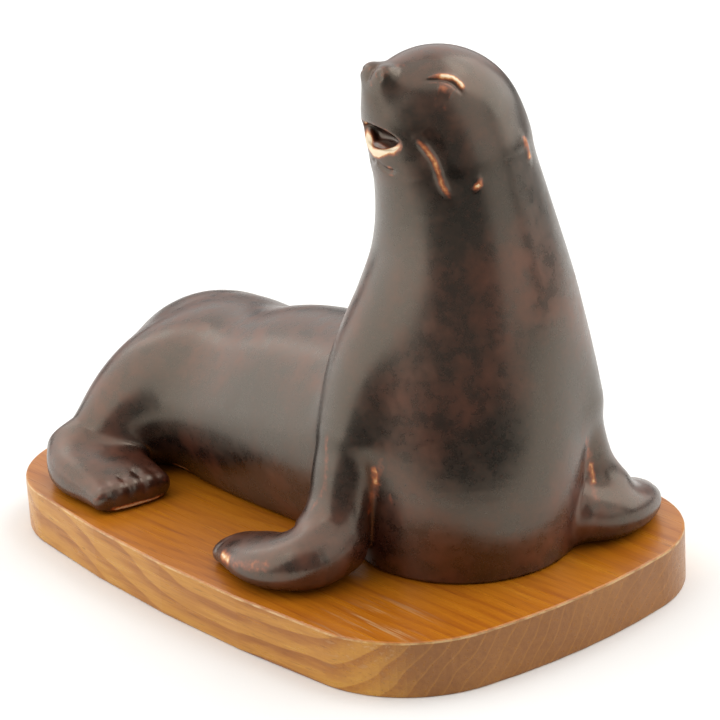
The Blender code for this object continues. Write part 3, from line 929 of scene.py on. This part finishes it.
def skin_direction(tree):
    """The x, y and z of the surface's own normal."""
    geometry = node(tree, "ShaderNodeNewGeometry")
    return node(tree, "ShaderNodeSeparateXYZ", {"Vector": geometry.outputs["Normal"]}).outputs


def object_place(tree):
    """Places on the object, in its own metres."""
    return node(tree, "ShaderNodeTexCoord").outputs["Object"]


def painted_share(tree, name):
    """A share that the mesh holds for each of its corners."""
    return node(tree, "ShaderNodeAttribute", attribute_name=name).outputs["Fac"]


print("dark glaze #0e0e0d is", [round(v, 4) for v in linear("#0e0e0d")[:3]])

# %% [markdown]
# The glaze is an iron-saturated stoneware glaze, fired to a hazy semi-gloss. Blackish grey and
# brown cloud through each other in blots of about 7 mm, with rust freckles of 1 or 2 mm, and areas
# of 5 cm are redder. Where the skin faces up it is painted redder and lighter too, which is painted
# light from above. Iron raises the glaze's index to 1.9 and warms what it mirrors. The melt is
# slightly wavy at 7 mm, with pinholes of under half a millimetre that lie about a centimetre apart.

# %% Iron glaze on stoneware
GLAZE_CLOUD_MM = 7
GLAZE_PATCH_MM = 48
GLAZE_RED_AREA_MM = 46
GLAZE_FRECKLE_MM = 1.5
GLAZE_RAGGED_MM = 2.2
GLAZE_WAVE_MM = 7
PINHOLE_SPACING_MM = 11.0
IRON_GLAZE_INDEX = 1.9
GLAZE_RELIEF = 0.4 * MM

glaze, tree, shader = new_material("iron_glazed_stoneware")
place = object_place(tree)
cloud = noise(tree, place, GLAZE_CLOUD_MM, 6, 0.62)
patch = noise(tree, place, GLAZE_PATCH_MM, 3, 0.5)
freckle = noise(tree, place, GLAZE_FRECKLE_MM, 4, 0.6)
blots = plus(tree, times(tree, cloud, 0.55), times(tree, patch, 0.45))
ground = ramp(tree, blots, ((0.38, "#0e0e0d"), (0.5, "#1f1612"), (0.62, "#3c241a")))
# Painted light: where the skin faces up, the glaze is pushed redder and lighter, as if lit from above
top_light_reddening = eased_range(tree, skin_direction(tree)["Z"], 0.1, 0.9, 0.0, 0.16)
red_area = plus(tree, noise(tree, place, GLAZE_RED_AREA_MM, 3, 0.55), top_light_reddening)
reddened = ramp(tree, cloud, ((0.35, "#2c1611"), (0.65, "#5a2c1c")))
ground = blend(tree, eased_range(tree, red_area, 0.42, 0.72, 0.0, 0.8), ground, reddened)
freckle_share = eased_range(tree, freckle, 0.5, 0.8, 0.0, 0.35)
freckled = blend(tree, freckle_share, ground, linear("#54291a"))

# Where the glaze is thin it breaks to rust, orange and cream, with ragged outlines
ragged = noise(tree, place, GLAZE_RAGGED_MM, 4, 0.6)
worn_edge = times(tree, painted_share(tree, "edge"), 0.3)
worn_rusty = times(tree, painted_share(tree, "rusty"), 0.55)
worn_wiped = times(tree, painted_share(tree, "wiped"), 1.35)
worn = greater(tree, plus(tree, worn_edge, worn_rusty), worn_wiped)
worn = plus(tree, worn, times(tree, minus(tree, ragged, 0.5), 0.8))
broken = ramp(tree, worn, (
    (0.2, "#3a1f16"), (0.42, "#6b3320"), (0.62, "#a8592c"), (0.8, "#dca468"), (0.95, "#f0dcba"),
))
surface = blend(tree, eased_range(tree, worn, 0.14, 0.42), freckled, broken)

pin = node(tree, "ShaderNodeTexVoronoi", {
    "Vector": place, "Scale": MM_IN_A_METRE / PINHOLE_SPACING_MM,
}, feature="F1")
pits = eased_range(tree, pin.outputs["Distance"], 0.02, 0.035, 1.0, 0.0)
surface = blend(tree, times(tree, pits, 0.8), surface, linear("#0b0908"))
tree.links.new(surface, shader.inputs["Base Color"])
haze = plus(tree, cloud, times(tree, worn, 0.3))
tree.links.new(eased_range(tree, haze, 0.3, 0.9, 0.25, 0.4), shader.inputs["Roughness"])
shader.inputs["IOR"].default_value = IRON_GLAZE_INDEX
shader.inputs["Specular Tint"].default_value = linear("#ffecd6")

waves = noise(tree, place, GLAZE_WAVE_MM, 2, 0.4)
height = plus(tree, waves, times(tree, freckle, 0.1))
height = minus(tree, height, times(tree, pits, 0.4))
bump = node(tree, "ShaderNodeBump", {"Height": height, "Strength": 0.12, "Distance": GLAZE_RELIEF})
tree.links.new(bump.outputs["Normal"], shader.inputs["Normal"])
mesh.materials.append(glaze)
print("glaze nodes:", len(tree.nodes))

# %% [markdown]
# The board is teak, planed and lacquered amber, with its arris just taken off. Wood is a solid
# pattern: growth rings 5 mm apart about the heart of the log, which lay below the board and
# behind it. The rings cross the ends on a slant, and run along the top and the long sides as
# lines that wander a little. Fibres of 1.6 mm and dark pores of 0.7 mm run along the grain.

# %% Lacquered teak
HEART_MM = (130.0, -90.0)
RING_WIDTH_MM = 4.8
RING_WANDER_MM = 26.0
LEAN_OF_THE_LOG = 0.05
WANDER_SIZE_MM = 55
FIBRE_MM = 1.6
BROAD_BAND_MM = 22
PORE_MM = 0.7
RUBBED_SPOT_MM = 5
SCUFFED_CORNER = (0.0935, -0.0625, 0.02)
WOOD_RELIEF = 0.12 * MM
LACQUER_GLOSS = 0.45

teak, tree, shader = new_material("lacquered_teak")
place = object_place(tree)
spot = node(tree, "ShaderNodeSeparateXYZ", {"Vector": place})
x, y, z = [times(tree, spot.outputs[axis], MM_IN_A_METRE) for axis in "XYZ"]
unsteady = noise(tree, place, WANDER_SIZE_MM, 3, 0.45, stretch=(0.35, 1.0, 1.0))
wander = times(tree, minus(tree, unsteady, 0.5), RING_WANDER_MM)
sideways = minus(tree, y, HEART_MM[0])
upward = minus(tree, z, HEART_MM[1])
squares = plus(tree, times(tree, sideways, sideways), times(tree, upward, upward))
radius = node(tree, "ShaderNodeMath", {0: squares, 1: 0.5}, operation="POWER").outputs[0]
radius = plus(tree, plus(tree, radius, wander), times(tree, x, LEAN_OF_THE_LOG))
rings = node(tree, "ShaderNodeMath", {0: radius, 1: RING_WIDTH_MM}, operation="DIVIDE").outputs[0]
ring = node(tree, "ShaderNodeMath", {0: rings}, operation="FRACT").outputs[0]
ring_ends = eased_range(tree, ring, 0.93, 1.0, 1.0, 0.0)
late = times(tree, eased_range(tree, ring, 0.25, 0.9), ring_ends)
early = eased_range(tree, ring, 0.0, 0.22, 1.0, 0.0)

streak = noise(tree, place, FIBRE_MM, 5, 0.6, stretch=(0.04, 1.0, 1.0))
broad = noise(tree, place, BROAD_BAND_MM, 3, 0.5, stretch=(0.15, 1.0, 1.0))
pores = noise(tree, place, PORE_MM, 2, 0.5, stretch=(0.05, 1.0, 1.0))
tone = plus(tree, times(tree, streak, 0.45), times(tree, broad, 0.35))
# The top and the long sides get colours of their own: the top deeper orange, the sides paler and
# yellower. That difference is painted light from how each face is lit; the grain in both is the
# wood's own.
top_wood_as_lit = ramp(tree, plus(tree, tone, times(tree, late, 0.07)), (
    (0.25, "#c87f1f"), (0.42, "#b96d14"), (0.56, "#a4590e"), (0.75, "#804008"),
))
side_wood_as_lit = ramp(tree, plus(tree, tone, times(tree, late, 0.17)), (
    (0.25, "#d09a42"), (0.44, "#c08432"), (0.6, "#a76823"), (0.82, "#814613"),
))
end_wood = ramp(tree, tone, ((0.28, "#a06a2f"), (0.45, "#8e5a26"), (0.65, "#78481d")))
end_wood = blend(tree, times(tree, early, 0.6), end_wood, linear("#ad7431"))
facing = skin_direction(tree)
facing_up = facing["Z"]
facing_end = node(tree, "ShaderNodeMath", {0: facing["X"]}, operation="ABSOLUTE").outputs[0]
wood = blend(tree, eased_range(tree, facing_end, 0.45, 0.85), side_wood_as_lit, end_wood)
# Where the surface faces up it takes the top's colour, the painted light described above
wood = blend(tree, eased_range(tree, facing_up, 0.5, 0.95), wood, top_wood_as_lit)
wood = blend(tree, eased_range(tree, pores, 0.62, 0.74, 0.0, 0.35), wood, linear("#5a2f12"))

# The arris is rubbed pale, and one corner of the top is scuffed along the grain
rubbed = noise(tree, place, RUBBED_SPOT_MM, 4, 0.6)
below_top = eased_range(tree, facing_up, 0.8, 0.97, 1.0, 0.0)
arris = times(tree, eased_range(tree, facing_up, 0.1, 0.35), below_top)
arris = times(tree, arris, eased_range(tree, rubbed, 0.35, 0.62, 0.15, 0.6))
corner = node(tree, "ShaderNodeVectorMath", {0: place, 1: SCUFFED_CORNER}, operation="DISTANCE")
near_corner = eased_range(tree, corner.outputs["Value"], 0.006, 0.026, 1.0, 0.0)
scuffed = times(tree, near_corner, eased_range(tree, streak, 0.54, 0.64))
pale = greater(tree, arris, times(tree, scuffed, 0.35))
wood = blend(tree, pale, wood, linear("#e6c48e"))
tree.links.new(wood, shader.inputs["Base Color"])
tree.links.new(eased_range(tree, streak, 0.3, 0.7, 0.26, 0.38), shader.inputs["Roughness"])
shader.inputs["Specular IOR Level"].default_value = LACQUER_GLOSS
grain = minus(tree, times(tree, streak, 0.5), pores)
bump = node(tree, "ShaderNodeBump", {"Height": grain, "Strength": 0.2, "Distance": WOOD_RELIEF})
tree.links.new(bump.outputs["Normal"], shader.inputs["Normal"])
board = frame["nodes"]["wooden_base"]
board.data.materials.clear()
board.data.materials.append(teak)
print("wood nodes:", len(tree.nodes))

# %% [markdown]
# ## The studio
# The ornament stands on white paper inside a tent of soft boxes. The tent is open toward the
# camera, and that gap is the dark band down the animal's chest and cheek. A dark card on the
# floor in front is a painted reflection: only glossy surfaces see it, it casts no shadow and
# lights nothing, and it darkens the low reflections in the glaze, so the paper stays white.

# %% Floor
FLOOR_RADIUS = 6.0
FLOOR_CORNERS = 96

paper, tree, shader = new_material("white_paper")
shader.inputs["Base Color"].default_value = linear("#f4f3f0")
shader.inputs["Roughness"].default_value = 0.9
floor_mesh = bpy.data.meshes.new("floor")
floor_shell = bmesh.new()
bmesh.ops.create_circle(floor_shell, cap_ends=True, segments=FLOOR_CORNERS, radius=FLOOR_RADIUS)
floor_shell.to_mesh(floor_mesh)
floor_shell.free()
floor = bpy.data.objects.new("floor", floor_mesh)
bpy.context.scene.collection.objects.link(floor)
floor_mesh.materials.append(paper)
print("floor", 2 * FLOOR_RADIUS, "m across")

# %% Soft boxes
TENT_RADIUS = 1.3
TENT_CENTRE = np.array([0.0, 0.0, 0.09])

# Azimuth from +X and elevation in degrees, width and height in metres, radiance
SOFT_BOXES = (
    ("left wall", -133, 29, 2.5, 1.8, 1.5),
    ("right front", 12, 27, 0.9, 1.3, 0.85),
    ("right wall", 70, 38, 1.5, 1.6, 1.95),
    ("back wall", 146, 32, 1.7, 1.1, 0.92),
    ("roof", -60, 88, 1.5, 1.5, 0.96),
)


def soft_box(name, azimuth, elevation, width, height, radiance):
    """A rectangle of light on the tent, facing its centre."""
    light = bpy.data.lights.new(name, "AREA")
    light.shape = "RECTANGLE"
    light.size = width
    light.size_y = height
    light.energy = radiance * math.pi * width * height
    lamp = bpy.data.objects.new(name, light)
    a, e = math.radians(azimuth), math.radians(elevation)
    back = np.array([math.cos(e) * math.cos(a), math.cos(e) * math.sin(a), math.sin(e)])
    side = unit(np.cross(UP, back))
    top = np.cross(back, side)
    spot = TENT_CENTRE + back * TENT_RADIUS
    rows = [[side[i], top[i], back[i], spot[i]] for i in range(3)]
    lamp.matrix_world = Matrix(rows + [[0, 0, 0, 1]])
    bpy.context.scene.collection.objects.link(lamp)


for box in SOFT_BOXES:
    soft_box(*box)
print("soft boxes:", len(SOFT_BOXES))

# %% Dark card for the reflections, and the dim room
DARK_CARD_HEADING = math.radians(-42)
DARK_CARD_HEIGHT = 1.0 * MM
DARK_CARD_CORNERS = ((0.23, -0.45), (1.5, -0.9), (1.5, 0.9), (0.23, 0.45))
ROOM_LEVEL = 0.25

dark_card_material, tree, shader = new_material("dark_reflection_card")
shader.inputs["Base Color"].default_value = linear("#141414")
shader.inputs["Roughness"].default_value = 1.0
dark_card_mesh = bpy.data.meshes.new("dark_reflection_card")
dark_card_places = [(
    math.cos(DARK_CARD_HEADING) * ahead - math.sin(DARK_CARD_HEADING) * left,
    math.sin(DARK_CARD_HEADING) * ahead + math.cos(DARK_CARD_HEADING) * left,
    DARK_CARD_HEIGHT,
) for ahead, left in DARK_CARD_CORNERS]
dark_card_mesh.from_pydata(dark_card_places, [], [(0, 1, 2, 3)])
dark_card_mesh.materials.append(dark_card_material)
dark_card = bpy.data.objects.new("dark_reflection_card", dark_card_mesh)
bpy.context.scene.collection.objects.link(dark_card)
# Hidden from the camera, from diffuse light and from shadows: the card is only a painted dark
# reflection
dark_card.visible_camera = False
dark_card.visible_diffuse = False
dark_card.visible_shadow = False
dark_card.visible_transmission = False

world = bpy.data.worlds.new("studio")
world.use_nodes = True
background = world.node_tree.nodes["Background"]
background.inputs["Color"].default_value = (ROOM_LEVEL, ROOM_LEVEL, ROOM_LEVEL, 1.0)
bpy.context.scene.world = world
bpy.context.scene.view_settings.view_transform = "Standard"
print("room level:", ROOM_LEVEL)
